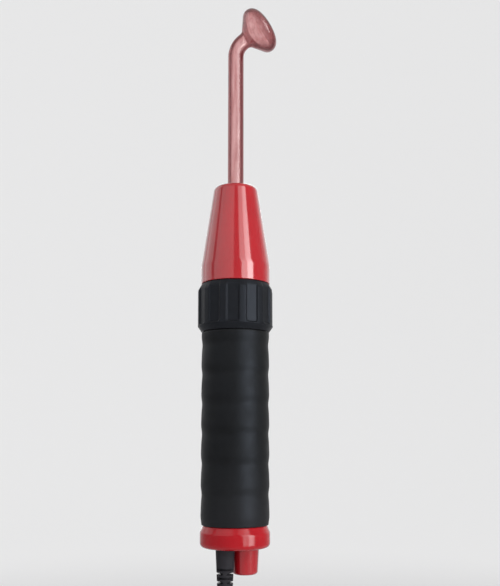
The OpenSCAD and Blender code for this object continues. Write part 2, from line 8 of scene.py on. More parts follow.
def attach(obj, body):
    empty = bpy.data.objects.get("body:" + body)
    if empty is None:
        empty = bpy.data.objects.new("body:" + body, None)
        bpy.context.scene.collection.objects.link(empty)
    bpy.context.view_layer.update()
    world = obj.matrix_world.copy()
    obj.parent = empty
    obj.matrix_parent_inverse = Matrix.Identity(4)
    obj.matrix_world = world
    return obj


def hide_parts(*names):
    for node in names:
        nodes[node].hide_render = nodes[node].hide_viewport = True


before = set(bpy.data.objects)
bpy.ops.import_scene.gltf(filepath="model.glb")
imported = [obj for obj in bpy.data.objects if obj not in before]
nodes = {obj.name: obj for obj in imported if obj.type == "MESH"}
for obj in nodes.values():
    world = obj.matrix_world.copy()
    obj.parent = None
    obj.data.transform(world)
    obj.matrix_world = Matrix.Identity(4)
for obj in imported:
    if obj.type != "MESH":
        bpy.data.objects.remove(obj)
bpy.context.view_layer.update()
scene = bpy.context.scene
scene.view_settings.view_transform = "Standard"


# View
# A lens of about 50 mm, a little over half a metre from the handle and level with the middle of its grip,
# tipped up a little and shifted so that the whole wand down to its strain relief fills the picture.
camera_data = bpy.data.cameras.new("view")
camera_data.sensor_width = 36
camera_data.lens = 49.6
camera_data.shift_y = 0.0963
camera = bpy.data.objects.new("view", camera_data)
camera.location = (0.0102, -0.558, -0.00985)
camera.rotation_euler = (math.radians(90 + 6.5), 0, 0)
scene.collection.objects.link(camera)
scene.camera = camera


# Mains flex
# Round two-core flex, 6 mm across, with a black PVC jacket. It leaves the strain relief, and its
# 1.8 m are folded into a hank of five loops that hangs below the handle, with the plug at its end.
MM = 0.001
FLEX_DIAMETER = 6.0
FLEX_LEAD = [
    (-6.5, -5, -128), (-6.5, -5, -134), (-7.2, -4.4, -140.5), (-9.2, -2.5, -147),
    (-12.2, 0.2, -153.5), (-15.8, 3.5, -160), (-19.3, 6.7, -166.5), (-22.3, 9.5, -173),
    (-24.3, 11.4, -179.5), (-25, 12, -186), (-25, 12, -192),
]
FLEX_TAIL = [
    (-13, -21, -256), (-13, -21, -262), (-13, -22, -269), (-13, -24.5, -276),
    (-13, -27, -283), (-13, -28, -290), (-13, -28, -296),
]
HANK_X, HANK_Y, HANK_TOP, HANK_RUN = -7.0, 12.0, -198.0, 104.0
HANK_LOOPS, HANK_STEP, HANK_FOLD, HANK_WAIST = 5, 6.6, 18.0, 6.0
HANK_RINGS = 20


def eased_line(points, parts):
    """Points on a smooth line through the given ones, with that many parts to each stretch."""
    ends = [2 * Vector(points[0]) - Vector(points[1]), 2 * Vector(points[-1]) - Vector(points[-2])]
    knots = [ends[0], *map(Vector, points), ends[1]]
    line = []
    for a, b, c, d in zip(knots, knots[1:], knots[2:], knots[3:]):
        for i in range(parts):
            t = i / parts
            square = (2 * a - 5 * b + 4 * c - d) * t**2
            cube = (3 * b - a - 3 * c + d) * t**3
            line.append(0.5 * (2 * b + (c - a) * t + square + cube))
    return [*line, Vector(points[-1])]


def hank_line():
    """The folded stretch of the flex: runs drawn in at the waist, with a half turn at each end."""
    line = []
    low = HANK_TOP - HANK_RUN
    for loop in range(HANK_LOOPS + 1):
        y = HANK_Y - loop * HANK_STEP
        last = loop == HANK_LOOPS
        for i in range(HANK_RINGS // 2 + 1 if last else HANK_RINGS):
            u = i / HANK_RINGS
            half = HANK_FOLD - (HANK_FOLD - HANK_WAIST) * math.sin(math.pi * u) ** 2
            line.append(Vector((HANK_X - half, y, HANK_TOP - HANK_RUN * u)))
        if last:
            return line
        for i in range(HANK_RINGS):
            a = math.pi * i / HANK_RINGS
            line.append(Vector((HANK_X - HANK_FOLD * math.cos(a), y, low - HANK_FOLD * math.sin(a))))
        for i in range(HANK_RINGS):
            u = i / HANK_RINGS
            half = HANK_FOLD - (HANK_FOLD - HANK_WAIST) * math.sin(math.pi * u) ** 2
            line.append(Vector((HANK_X + half, y - HANK_STEP * u * u * (3 - 2 * u), low + HANK_RUN * u)))
        for i in range(HANK_RINGS):
            a = math.pi * i / HANK_RINGS
            line.append(
                Vector((HANK_X + HANK_FOLD * math.cos(a), y - HANK_STEP, HANK_TOP + HANK_FOLD * math.sin(a)))
            )


flex_line = [*eased_line(FLEX_LEAD, 4), *hank_line(), *eased_line(FLEX_TAIL, 4)]
flex_curve = bpy.data.curves.new("mains_flex", "CURVE")
flex_curve.dimensions = "3D"
flex_curve.bevel_depth = FLEX_DIAMETER / 2 * MM
flex_curve.bevel_resolution = 5
flex_curve.use_fill_caps = True
flex_spline = flex_curve.splines.new("POLY")
flex_spline.points.add(len(flex_line) - 1)
for spot, point in zip(flex_spline.points, flex_line):
    spot.co = (*(point * MM), 1)
flex = bpy.data.objects.new("mains_flex", flex_curve)
scene.collection.objects.link(flex)


def linear(code):
    """Linear colour of an sRGB hex code."""
    channels = [int(code[i : i + 2], 16) / 255 for i in (1, 3, 5)]
    return (*[c / 12.92 if c <= 0.04045 else ((c + 0.055) / 1.055) ** 2.4 for c in channels], 1.0)


def add_node(tree, kind, inputs, **settings):
    """Adds a shader node with its settings, and sets or links its inputs."""
    node = tree.nodes.new("ShaderNode" + kind)
    for name, value in settings.items():
        setattr(node, name, value)
    for socket, value in inputs.items():
        if isinstance(value, bpy.types.NodeSocket):
            tree.links.new(value, node.inputs[socket])
        else:
            node.inputs[socket].default_value = value
    return node


def start_material(name, values):
    """A material with one Principled shader whose constants are set, its tree and its object coordinates."""
    material = bpy.data.materials.new(name)
    material.use_nodes = True
    tree = material.node_tree
    shader = tree.nodes["Principled BSDF"]
    for socket, value in values.items():
        shader.inputs[socket].default_value = value
    place = add_node(tree, "TexCoord", {}).outputs["Object"]
    return material, tree, shader, place


def per_metre(size):
    """Scale of a pattern whose feature measures that many millimetres."""
    return 1000 / size


# Extruded PVC: a soft black sheen, dulled in patches by handling, with a faint ripple from the die.
flex_pvc, tree, shader, place = start_material(
    "flex_pvc_extruded", {"Roughness": 0.42, "IOR": 1.52, "Base Color": linear("#1A1A1C")}
)
patches = add_node(tree, "TexNoise", {"Vector": place, "Scale": per_metre(9), "Detail": 4})
tint = add_node(
    tree, "Mix", {0: patches.outputs["Fac"], 6: linear("#141416"), 7: linear("#232427")}, data_type="RGBA"
)
tree.links.new(tint.outputs[2], shader.inputs["Base Color"])
dull = add_node(
    tree, "MapRange",
    {"Value": patches.outputs["Fac"], "From Min": 0.3, "From Max": 0.7, "To Min": 0.36, "To Max": 0.5},
)
tree.links.new(dull.outputs["Result"], shader.inputs["Roughness"])
ripple = add_node(tree, "TexNoise", {"Vector": place, "Scale": per_metre(1.2), "Detail": 2})
bump = add_node(tree, "Bump", {"Strength": 0.25, "Distance": 0.00005, "Height": ripple.outputs["Fac"]})
tree.links.new(bump.outputs["Normal"], shader.inputs["Normal"])
flex_curve.materials.append(flex_pvc)
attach(flex, "handle")
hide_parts("cord_lead", "cord_hank", "cord_tail")


def dress(name, material):
    """Puts a finish on a CAD piece."""
    for slot in nodes[name].material_slots:
        slot.material = material


dress("cord_entry", flex_pvc)


# Hank tie
# Woven nylon strap with a hooked face, drawn round the waist of the hank and closed on itself:
# its free end lies over the first turn on the front.
TIE_WALL, TIE_HEIGHT, TIE_LEVEL = 1.4, 11.0, HANK_TOP - HANK_RUN / 2
TIE_LOW_X, TIE_HIGH_X, TIE_LOW_Y, TIE_HIGH_Y, TIE_CORNER, TIE_EDGE = -18.3, 4.3, -25.7, 16.7, 4, 0.3
TIE_FREE_END = [(-11.5, 0.75), (-8.5, 1.5), (-4.0, 1.5), (-0.5, 1.5)]


def skin(name, rings, closed=False):
    """A smooth mesh through rings of points in millimetres, where a ring of one point is a pole."""
    points, starts, faces = [], [], []
    for ring in rings:
        starts.append(len(points))
        points.extend(Vector(p) * MM for p in ring)
    order = list(range(len(rings))) + ([0] if closed else [])
    for a, b in zip(order, order[1:]):
        count = max(len(rings[a]), len(rings[b]))
        for k in range(count):
            corners = [
                starts[a] + k % len(rings[a]), starts[a] + (k + 1) % len(rings[a]),
                starts[b] + (k + 1) % len(rings[b]), starts[b] + k % len(rings[b]),
            ]
            faces.append(list(dict.fromkeys(corners)))
    mesh = bpy.data.meshes.new(name)
    mesh.from_pydata(points, [], faces)
    work = bmesh.new()
    work.from_mesh(mesh)
    bmesh.ops.recalc_face_normals(work, faces=work.faces)
    work.to_mesh(mesh)
    work.free()
    mesh.shade_smooth()
    piece = bpy.data.objects.new(name, mesh)
    scene.collection.objects.link(piece)
    return piece


def corner_loop(low_x, low_y, high_x, high_y, radius, parts=8):
    """Points round a rectangle with rounded corners, seen from above, from the middle of its front."""
    loop = [((low_x + high_x) / 2, low_y)]
    for x, y, start in (
        (high_x - radius, low_y + radius, -90), (high_x - radius, high_y - radius, 0),
        (low_x + radius, high_y - radius, 90), (low_x + radius, low_y + radius, 180),
    ):
        for i in range(parts + 1):
            a = math.radians(start + 90 * i / parts)
            loop.append((x + radius * math.cos(a), y + radius * math.sin(a)))
    return loop


def strap_rings(path, inward, height, edge):
    """Cross-sections of a strap along a path: each is a rectangle with eased edges, standing upright."""
    rings = []
    half = height / 2
    for i, here in enumerate(path):
        outer = Vector(here)
        along = (Vector(path[min(i + 1, len(path) - 1)]) - Vector(path[max(i - 1, 0)])).normalized()
        inner = outer + Vector((-along.y, along.x)) * inward
        near, far = outer.lerp(inner, 0.3), outer.lerp(inner, 0.7)
        corners = (
            (outer, edge - half), (outer, half - edge), (near, half), (far, half),
            (inner, half - edge), (inner, edge - half), (far, -half), (near, -half),
        )
        rings.append([(spot.x, spot.y, TIE_LEVEL + z) for spot, z in corners])
    return rings


tie_path = corner_loop(TIE_LOW_X, TIE_LOW_Y, TIE_HIGH_X, TIE_HIGH_Y, TIE_CORNER)
tie_path += [(x, TIE_LOW_Y - lift) for x, lift in TIE_FREE_END]
tie_rings = strap_rings(tie_path, TIE_WALL, TIE_HEIGHT, TIE_EDGE)
tie_ends = [sum(map(Vector, ring), Vector()) / len(ring) for ring in (tie_rings[0], tie_rings[-1])]
hank_strap = skin("hank_strap", [[tie_ends[0]], *tie_rings, [tie_ends[1]]])

# Woven nylon: dark grey and dull, with ribs 1.8 mm apart along the strap, coarser than the real weave so that
# they show. A band wave of scale 1 repeats every WAVE_REPEAT metres.
WAVE_REPEAT = math.pi / 10
strap_nylon, tree, shader, place = start_material(
    "strap_nylon_woven",
    {"Roughness": 0.85, "IOR": 1.53, "Sheen Weight": 0.25, "Base Color": linear("#3A3D42")},
)
ribs = add_node(
    tree, "TexWave",
    {"Vector": place, "Scale": per_metre(1.776) * WAVE_REPEAT, "Distortion": 0.6, "Detail": 2},
    wave_type="BANDS", bands_direction="Z",
)
fuzz = add_node(tree, "TexNoise", {"Vector": place, "Scale": per_metre(0.5), "Detail": 4})
tint = add_node(
    tree, "Mix", {0: fuzz.outputs["Fac"], 6: linear("#2C2F34"), 7: linear("#4A4E55")}, data_type="RGBA"
)
tree.links.new(tint.outputs[2], shader.inputs["Base Color"])
bump = add_node(tree, "Bump", {"Strength": 0.6, "Distance": 0.0002, "Height": ribs.outputs["Fac"]})
tree.links.new(bump.outputs["Normal"], shader.inputs["Normal"])
hank_strap.data.materials.append(strap_nylon)
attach(hank_strap, "handle")
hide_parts("hank_tie")


# Plug
# Two-pole plug moulded on the flex in black PVC: a ribbed neck that widens into a flat-sided body.
# Two brass blades with a hole near the tip stand out of its face.
PLUG_X, PLUG_Y, PLUG_TOP, PLUG_LENGTH = -13.0, -28.0, -296.0, 44
# Distance from the top, half the width, half the depth, and how square the section is.
PLUG_SECTIONS = [
    (0.0, 3.0, 3.0, 2.0), (0.0, 3.5, 3.5, 2.0), (0.3, 3.9, 3.9, 2.0), (2.2, 4.1, 4.1, 2.0),
    (2.6, 3.6, 3.6, 2.0), (3.8, 3.7, 3.7, 2.0), (4.2, 4.5, 4.5, 2.0), (5.8, 4.7, 4.7, 2.0),
    (6.2, 4.1, 4.1, 2.0), (7.4, 4.3, 4.3, 2.0), (7.8, 5.1, 5.1, 2.0), (9.4, 5.3, 5.3, 2.1),
    (9.8, 4.7, 4.7, 2.1), (11.0, 5.0, 4.9, 2.1), (11.6, 5.9, 5.7, 2.2), (14.0, 7.0, 6.2, 2.4),
    (17.0, 8.6, 6.6, 2.8), (21.0, 11.0, 6.9, 3.2), (25.0, 12.4, 7.0, 3.6), (29.0, 12.5, 7.0, 3.8),
    (34.0, 12.5, 7.0, 3.8), (39.0, 12.5, 7.0, 3.8), (42.5, 12.5, 7.0, 3.8), (43.3, 12.3, 6.8, 3.8),
    (43.8, 11.8, 6.3, 3.8), (44.0, 11.0, 5.5, 3.8), (44.0, 6.0, 3.0, 3.0),
]


def oval_ring(x, y, z, half_x, half_y, power, count=64):
    """A level ring between an ellipse (power 2) and a rectangle (higher powers)."""
    ring = []
    for k in range(count):
        c, s = math.cos(2 * math.pi * k / count), math.sin(2 * math.pi * k / count)
        across = half_x * math.copysign(abs(c) ** (2 / power), c)
        deep = half_y * math.copysign(abs(s) ** (2 / power), s)
        ring.append((x + across, y + deep, z))
    return ring


plug_rings = [oval_ring(PLUG_X, PLUG_Y, PLUG_TOP - d, a, b, n) for d, a, b, n in PLUG_SECTIONS]
plug_ends = [(PLUG_X, PLUG_Y, PLUG_TOP), (PLUG_X, PLUG_Y, PLUG_TOP - PLUG_LENGTH)]
plug_moulding = skin("plug_moulding", [[plug_ends[0]], *plug_rings, [plug_ends[1]]])

# Moulded PVC: black, with a skin of about 0.4 mm grain from an etched tool that breaks the highlight.
plug_pvc, tree, shader, place = start_material(
    "plug_pvc_moulded", {"Roughness": 0.5, "IOR": 1.52, "Base Color": linear("#1D1E20")}
)
grain = add_node(tree, "TexNoise", {"Vector": place, "Scale": per_metre(0.4), "Detail": 3})
tint = add_node(
    tree, "Mix", {0: grain.outputs["Fac"], 6: linear("#17181A"), 7: linear("#25262A")}, data_type="RGBA"
)
tree.links.new(tint.outputs[2], shader.inputs["Base Color"])
bump = add_node(tree, "Bump", {"Strength": 0.3, "Distance": 0.00006, "Height": grain.outputs["Fac"]})
tree.links.new(bump.outputs["Normal"], shader.inputs["Normal"])
plug_moulding.data.materials.append(plug_pvc)
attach(plug_moulding, "handle")
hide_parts("plug_body")

# Turned or stamped brass: warm yellow, bright, with fine lengthwise streaks from the tool.
brass, tree, shader, place = start_material(
    "brass_stamped", {"Metallic": 1.0, "Roughness": 0.28, "Base Color": linear("#B5964F")}
)
stretch = add_node(tree, "Mapping", {"Vector": place, "Scale": (1, 1, 0.05)})
streaks = add_node(
    tree, "TexNoise", {"Vector": stretch.outputs["Vector"], "Scale": per_metre(0.4), "Detail": 3}
)
dull = add_node(tree, "MapRange", {"Value": streaks.outputs["Fac"], "To Min": 0.2, "To Max": 0.38})
tree.links.new(dull.outputs["Result"], shader.inputs["Roughness"])
tint = add_node(
    tree, "Mix", {0: streaks.outputs["Fac"], 6: linear("#A88743"), 7: linear("#C4A55E")}, data_type="RGBA"
)
tree.links.new(tint.outputs[2], shader.inputs["Base Color"])
dress("plug_blades", brass)


# Inside the handle
# A phenolic tube carries the works: an insulating deck and plate with the interrupter on it, a wax-dipped
# capacitor, and the resonance coil between two discs. None of it shows while the wand is together.

# Laminated phenolic: brown, half dull, with the fibres of its paper layers every half millimetre.
phenolic, tree, shader, place = start_material(
    "phenolic_laminated", {"Roughness": 0.45, "IOR": 1.6, "Base Color": linear("#6B4A2F")}
)
flat = add_node(tree, "Mapping", {"Vector": place, "Scale": (1, 6, 0.3)})
fibres = add_node(tree, "TexNoise", {"Vector": flat.outputs["Vector"], "Scale": per_metre(0.5), "Detail": 5})
tint = add_node(
    tree, "Mix", {0: fibres.outputs["Fac"], 6: linear("#553820"), 7: linear("#7E5A3A")}, data_type="RGBA"
)
tree.links.new(tint.outputs[2], shader.inputs["Base Color"])
for name in ("chassis", "contact_post", "coil_form"):
    dress(name, phenolic)

# Enamelled copper wire in close turns: brown-red metal with a rib for each turn, drawn 1.4 mm apart so that
# they show, and painted shade that darkens the grooves between the ribs.
copper, tree, shader, place = start_material(
    "copper_enamelled", {"Metallic": 0.85, "Roughness": 0.32, "Base Color": linear("#A8622F")}
)
turns_with_groove_shade = add_node(
    tree, "TexWave", {"Vector": place, "Scale": per_metre(1.381) * WAVE_REPEAT, "Distortion": 0.15},
    wave_type="BANDS", bands_direction="Z",
)
# Painted shade: the colour is darker in the grooves between the turns, where the bump is low.
tint = add_node(
    tree, "Mix", {0: turns_with_groove_shade.outputs["Fac"], 6: linear("#6E3A18"), 7: linear("#B56E38")}, data_type="RGBA"
)
tree.links.new(tint.outputs[2], shader.inputs["Base Color"])
bump = add_node(tree, "Bump", {"Strength": 0.8, "Distance": 0.0002, "Height": turns_with_groove_shade.outputs["Fac"]})
tree.links.new(bump.outputs["Normal"], shader.inputs["Normal"])
for name in ("magnet_winding", "primary_winding", "secondary_winding"):
    dress(name, copper)

# Turned steel: bright grey with rings from the lathe, 0.3 mm apart.
steel, tree, shader, place = start_material(
    "steel_turned", {"Metallic": 1.0, "Roughness": 0.3, "Base Color": linear("#B9BCC0")}
)
stretch = add_node(tree, "Mapping", {"Vector": place, "Scale": (0.1, 0.1, 1)})
rings = add_node(
    tree, "TexNoise", {"Vector": stretch.outputs["Vector"], "Scale": per_metre(0.3), "Detail": 2}
)
dull = add_node(tree, "MapRange", {"Value": rings.outputs["Fac"], "To Min": 0.22, "To Max": 0.4})
tree.links.new(dull.outputs["Result"], shader.inputs["Roughness"])
for name in (
    "armature_pin", "fixed_contact", "moving_contact", "adjuster_spindle", "knob_set_screw", "spindle_clip",
    "electrode_lead_in", "end_cap_screws",
):
    dress(name, steel)
for name in ("knob_bush", "bush_nut", "contact_leaf", "hv_terminal", "socket_leaf"):
    dress(name, brass)

# The plainer finishes, each with clouds in its colour that measure so many millimetres.
for name, values, cloud, detail, dark, pale, pieces in (
    # Moulded phenolic: brown-black and satin, clouded where the filler shows.
    (
        "phenolic_moulded", {"Roughness": 0.38, "IOR": 1.6, "Base Color": linear("#2B2522")},
        3, 5, "#211C1A", "#372F2B", ["body_tube"],
    ),
    # Cream nylon and polythene insulation: pale, soft and slightly cloudy.
    (
        "nylon_cream", {"Roughness": 0.5, "IOR": 1.53, "Base Color": linear("#D6CBB0")},
        4, 3, "#C9BC9E", "#E2D8C0",
        ["cord_clamp", "magnet_bobbin", "coil_discs", "adjuster_nut", "electrode_socket"],
    ),
    # Soft iron: grey and dull, with a trace of scale.
    (
        "soft_iron", {"Metallic": 0.9, "Roughness": 0.5, "Base Color": linear("#7D8084")},
        1.5, 5, "#66686C", "#8F9296", ["magnet_core", "magnet_yoke", "armature"],
    ),
    # Waxed card: yellow-brown, blotched where the wax is thick.
    (
        "card_waxed", {"Roughness": 0.4, "IOR": 1.45, "Base Color": linear("#8A7648")},
        5, 4, "#77643A", "#9C8858", ["capacitor"],
    ),
    # Wire covering: dark blue PVC, smooth, a little uneven in colour.
    (
        "wire_pvc", {"Roughness": 0.45, "IOR": 1.52, "Base Color": linear("#33415E")},
        2, 2, "#2B3750", "#3D4D6E", ["supply_leads"],
    ),
    # Nitrile seals: black rubber with a slight bloom.
    (
        "nitrile_moulded", {"Roughness": 0.6, "IOR": 1.52, "Base Color": linear("#2A2B2D")},
        2, 3, "#222325", "#3A3B3D", ["nose_gasket", "electrode_seal_ring"],
    ),
):
    finish, tree, shader, place = start_material(name, values)
    clouds = add_node(tree, "TexNoise", {"Vector": place, "Scale": per_metre(cloud), "Detail": detail})
    tint = add_node(
        tree, "Mix", {0: clouds.outputs["Fac"], 6: linear(dark), 7: linear(pale)}, data_type="RGBA"
    )
    tree.links.new(tint.outputs[2], shader.inputs["Base Color"])
    for piece in pieces:
        dress(piece, finish)


# Strain relief
# Tapered boot moulded in black rubber, held by a flange inside the end cap. Eleven rows of slots, each row
# turned a quarter turn from the last, let it bend with the flex, which shows at the bottom of the slots.
RELIEF_X, RELIEF_Y = -6.5, -5.0
RELIEF_TOP, RELIEF_LOW = -80.8, -128.0
RELIEF_TOP_RADIUS, RELIEF_LOW_RADIUS, RELIEF_EDGE, RELIEF_EDGE_HEIGHT = 6.45, 4.3, 0.4, 0.8
SLOT_FIRST, SLOT_PITCH, SLOT_ROWS, SLOT_HALF, SLOT_WEB, SLOT_FLOOR = -94.6, 2.8, 11, 0.62, 1.6, 3.05
SLOT_EDGE, WEB_EDGE = 0.1, 0.15
RELIEF_COLUMNS = 128


def soft_step(x, low, high):
    """0 below low, 1 above high, and a smooth rise between."""
    t = min(1.0, max(0.0, (x - low) / (high - low)))
    return t * t * (3 - 2 * t)


relief_levels = [RELIEF_TOP, -82.0, -84.0, -86.5, -89.0, -91.5, -93.0]
for row in range(SLOT_ROWS):
    middle = SLOT_FIRST - row * SLOT_PITCH
    for step in (0.92, 0.77, 0.69, 0.61, 0.53, 0.45, 0.2, -0.2, -0.45, -0.53, -0.61, -0.69, -0.77, -0.92):
        relief_levels.append(middle + step)
relief_levels += [-124.6, -125.8, -126.8, -127.2, -127.55, -127.8, -127.95, RELIEF_LOW]
relief_rings = []
for z in relief_levels:
    taper = (RELIEF_TOP - z) / (RELIEF_TOP - RELIEF_LOW - 1)
    outer = RELIEF_TOP_RADIUS + (RELIEF_LOW_RADIUS - RELIEF_TOP_RADIUS) * min(taper, 1.0)
    if z < RELIEF_LOW + RELIEF_EDGE_HEIGHT:
        fall = (RELIEF_LOW + RELIEF_EDGE_HEIGHT - z) / RELIEF_EDGE_HEIGHT
        outer -= RELIEF_EDGE * (1 - math.sqrt(max(0.0, 1 - fall**2)))
    row = round((SLOT_FIRST - z) / SLOT_PITCH)
    in_row = 0.0
    if 0 <= row < SLOT_ROWS:
        off_middle = abs(z - SLOT_FIRST + row * SLOT_PITCH)
        in_row = 1 - soft_step(off_middle, SLOT_HALF - SLOT_EDGE, SLOT_HALF + SLOT_EDGE)
    ring = []
    for k in range(RELIEF_COLUMNS):
        a = 2 * math.pi * k / RELIEF_COLUMNS
        across = outer * abs(math.cos(a) if row % 2 else math.sin(a))
        depth = in_row * soft_step(across, SLOT_WEB - WEB_EDGE, SLOT_WEB + WEB_EDGE)
        r = outer + (SLOT_FLOOR - outer) * depth
        ring.append((RELIEF_X + r * math.cos(a), RELIEF_Y + r * math.sin(a), z))
    relief_rings.append(ring)


def level_ring(x, y, z, radius, count):
    """A level circle of points."""
    return [
        (x + radius * math.cos(2 * math.pi * k / count), y + radius * math.sin(2 * math.pi * k / count), z)
        for k in range(count)
    ]


relief_ends = [
    level_ring(RELIEF_X, RELIEF_Y, RELIEF_LOW, FLEX_DIAMETER / 2, RELIEF_COLUMNS),
    level_ring(RELIEF_X, RELIEF_Y, RELIEF_TOP, FLEX_DIAMETER / 2, RELIEF_COLUMNS),
]
relief_boot = skin("relief_boot", [*relief_rings, *relief_ends], closed=True)

# Moulded rubber: dull black with a fine skin of 0.35 mm grain, greyer where it has been handled.
boot_rubber, tree, shader, place = start_material(
    "boot_rubber_moulded",
    {"Roughness": 0.6, "IOR": 1.5, "Specular IOR Level": 0.12, "Base Color": linear("#2E2D31")},
)
grain = add_node(tree, "TexNoise", {"Vector": place, "Scale": per_metre(0.35), "Detail": 3})
handled = add_node(tree, "TexNoise", {"Vector": place, "Scale": per_metre(7), "Detail": 3})
tint = add_node(
    tree, "Mix", {0: handled.outputs["Fac"], 6: linear("#28272B"), 7: linear("#353438")}, data_type="RGBA"
)
tree.links.new(tint.outputs[2], shader.inputs["Base Color"])
bump = add_node(tree, "Bump", {"Strength": 0.25, "Distance": 0.00005, "Height": grain.outputs["Fac"]})
tree.links.new(bump.outputs["Normal"], shader.inputs["Normal"])
relief_boot.data.materials.append(boot_rubber)
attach(relief_boot, "handle")
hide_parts("strain_relief")


# End cap
# Cup moulded in red plastic, screwed to the deck from below by two countersunk screws. A bevelled
# shoulder meets the grip, a straight band runs round it, and the lower edge is well rounded.
CAP_TOP, CAP_LOW, CAP_RADIUS, CAP_SHOULDER, CAP_BEVEL, CAP_ROUND = -66.2, -80.8, 23.8, -70.8, 2.1, 3.0
CAP_FLOOR, CAP_LEDGE, CAP_BORE, CAP_MOUTH = -76.8, -73.5, 17.5, 20.75
SCREW_RING, SCREW_HEAD, SCREW_SHANK = 15.2, 3.1, 1.5
SEAT_BELOW, SEAT_FACE, SEAT_FLOOR, SEAT_END = -81.3, -80.78, -79.18, -79.1
LATHE_STEPS = 160


def eased_profile(corners, parts=6, support=0.3):
    """Points of a profile with its corners (radius, height, rounding) eased, and a support beside each."""
    flat = [Vector(c[:2]) for c in corners]
    line = [flat[0]]
    for i in range(1, len(flat) - 1):
        here, rounding = flat[i], corners[i][2]
        back, ahead = flat[i - 1] - here, flat[i + 1] - here
        if not rounding:
            line.append(here)
            continue
        half = back.angle(ahead) / 2
        reach = rounding / math.tan(half)
        centre = here + (back.normalized() + ahead.normalized()).normalized() * rounding / math.sin(half)
        start, end = here + back.normalized() * reach, here + ahead.normalized() * reach
        if reach + support < back.length * 0.5:
            line.append(start + back.normalized() * support)
        for k in range(parts + 1):
            spoke = (start - centre).slerp(end - centre, k / parts)
            line.append(centre + spoke.normalized() * rounding)
        if reach + support < ahead.length * 0.5:
            line.append(end + ahead.normalized() * support)
    return [*line, flat[-1]]


def turned(name, profile, x=0.0, y=0.0, closed=False):
    """A piece turned about an upright axis from a profile of (radius, height)."""
    rings = [
        level_ring(x, y, z, r, LATHE_STEPS) if r > 1e-6 else [(x, y, z)] for r, z in profile
    ]
    return skin(name, rings, closed)


def carve(piece, cutter):
    """Cuts one mesh out of another and removes the cutter."""
    cut = piece.modifiers.new("cut", "BOOLEAN")
    cut.operation = "DIFFERENCE"
    cut.solver = "EXACT"
    cut.object = cutter
    shaped = bpy.data.meshes.new_from_object(piece.evaluated_get(bpy.context.evaluated_depsgraph_get()))
    piece.modifiers.clear()
    piece.data = shaped
    bpy.data.objects.remove(cutter)


cap_shell = turned("cap_shell", eased_profile([
    (0, CAP_FLOOR, 0), (CAP_BORE, CAP_FLOOR, 0), (CAP_BORE, CAP_LEDGE, 0), (CAP_MOUTH, CAP_LEDGE, 0),
    (CAP_MOUTH, CAP_TOP, 0.25), (CAP_RADIUS - CAP_BEVEL, CAP_TOP, 0.6), (CAP_RADIUS, CAP_SHOULDER, 2.5),
    (CAP_RADIUS, CAP_LOW, CAP_ROUND), (0, CAP_LOW, 0),
]))
for angle in (132, -50):
    seat_x, seat_y = SCREW_RING * math.cos(math.radians(angle)), SCREW_RING * math.sin(math.radians(angle))
    seat_profile = [
        (0, SEAT_BELOW), (SCREW_HEAD, SEAT_BELOW), (SCREW_HEAD, SEAT_FACE), (SCREW_SHANK, SEAT_FLOOR),
        (0, SEAT_END),
    ]
    carve(cap_shell, turned("screw_seat", seat_profile, seat_x, seat_y))


def moulded_red(name, gloss, coat, shine):
    """Red ABS with flow marks of about 14 mm in its colour and rubbed patches of 2.5 mm in its gloss."""
    material, tree, shader, place = start_material(
        name,
        {
            "Roughness": 0.12, "IOR": 1.5, "Specular IOR Level": shine, "Coat Weight": coat,
            "Coat Roughness": gloss, "Base Color": linear("#B0121D"),
        },
    )
    flow = add_node(tree, "TexNoise", {"Vector": place, "Scale": per_metre(14), "Detail": 3})
    tint = add_node(
        tree, "Mix", {0: flow.outputs["Fac"], 6: linear("#A50F1A"), 7: linear("#B81520")}, data_type="RGBA"
    )
    tree.links.new(tint.outputs[2], shader.inputs["Base Color"])
    rub = add_node(tree, "TexNoise", {"Vector": place, "Scale": per_metre(2.5), "Detail": 6})
    dull = add_node(
        tree, "MapRange",
        {
            "Value": rub.outputs["Fac"], "From Min": 0.35, "From Max": 0.75,
            "To Min": gloss + 0.06, "To Max": gloss + 0.18,
        },
    )
    tree.links.new(dull.outputs["Result"], shader.inputs["Roughness"])
    return material


# Moulded ABS that has been handled: a deep red whose gloss is worn down, so that its highlight is weaker.
red_abs_handled = moulded_red("red_abs_handled", 0.07, 0.3, 0.3)
cap_shell.data.materials.append(red_abs_handled)
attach(cap_shell, "handle")
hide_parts("end_cap")


# Strength knob
# Tapered knob moulded in the same red plastic as the cap, in a better polished tool.
# It is fixed on its spindle by a set screw in a hole at the back.
KNOB_X, KNOB_Y, KNOB_TOP, KNOB_LOW = 6.8, 5.0, -81.15, -99.4
KNOB_RADIUS, KNOB_FOOT, KNOB_EDGE = 9.6, 8.55, 2.0
HOLE_RADIUS, HOLE_LEVEL, HOLE_FROM, HOLE_TO = 1.5, -88.9, 3.0, 12.0
knob_shell = turned("knob_shell", eased_profile([
    (0, KNOB_TOP, 0), (KNOB_RADIUS, KNOB_TOP, 0.4), (KNOB_FOOT, KNOB_LOW, KNOB_EDGE), (0, KNOB_LOW, 0),
]), KNOB_X, KNOB_Y)
set_screw_hole = turned(
    "set_screw_hole", [(0, HOLE_FROM), (HOLE_RADIUS, HOLE_FROM), (HOLE_RADIUS, HOLE_TO), (0, HOLE_TO)]
)
set_screw_hole.data.transform(
    Matrix.Translation(Vector((KNOB_X, KNOB_Y, HOLE_LEVEL)) * MM) @ Matrix.Rotation(math.radians(-90), 4, "X")
)
carve(knob_shell, set_screw_hole)

# Moulded ABS from a polished tool: the same red under a sharp gloss.
red_abs = moulded_red("red_abs_polished", 0.04, 1.0, 0.5)
knob_shell.data.materials.append(red_abs)
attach(knob_shell, "adjuster")
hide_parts("knob")


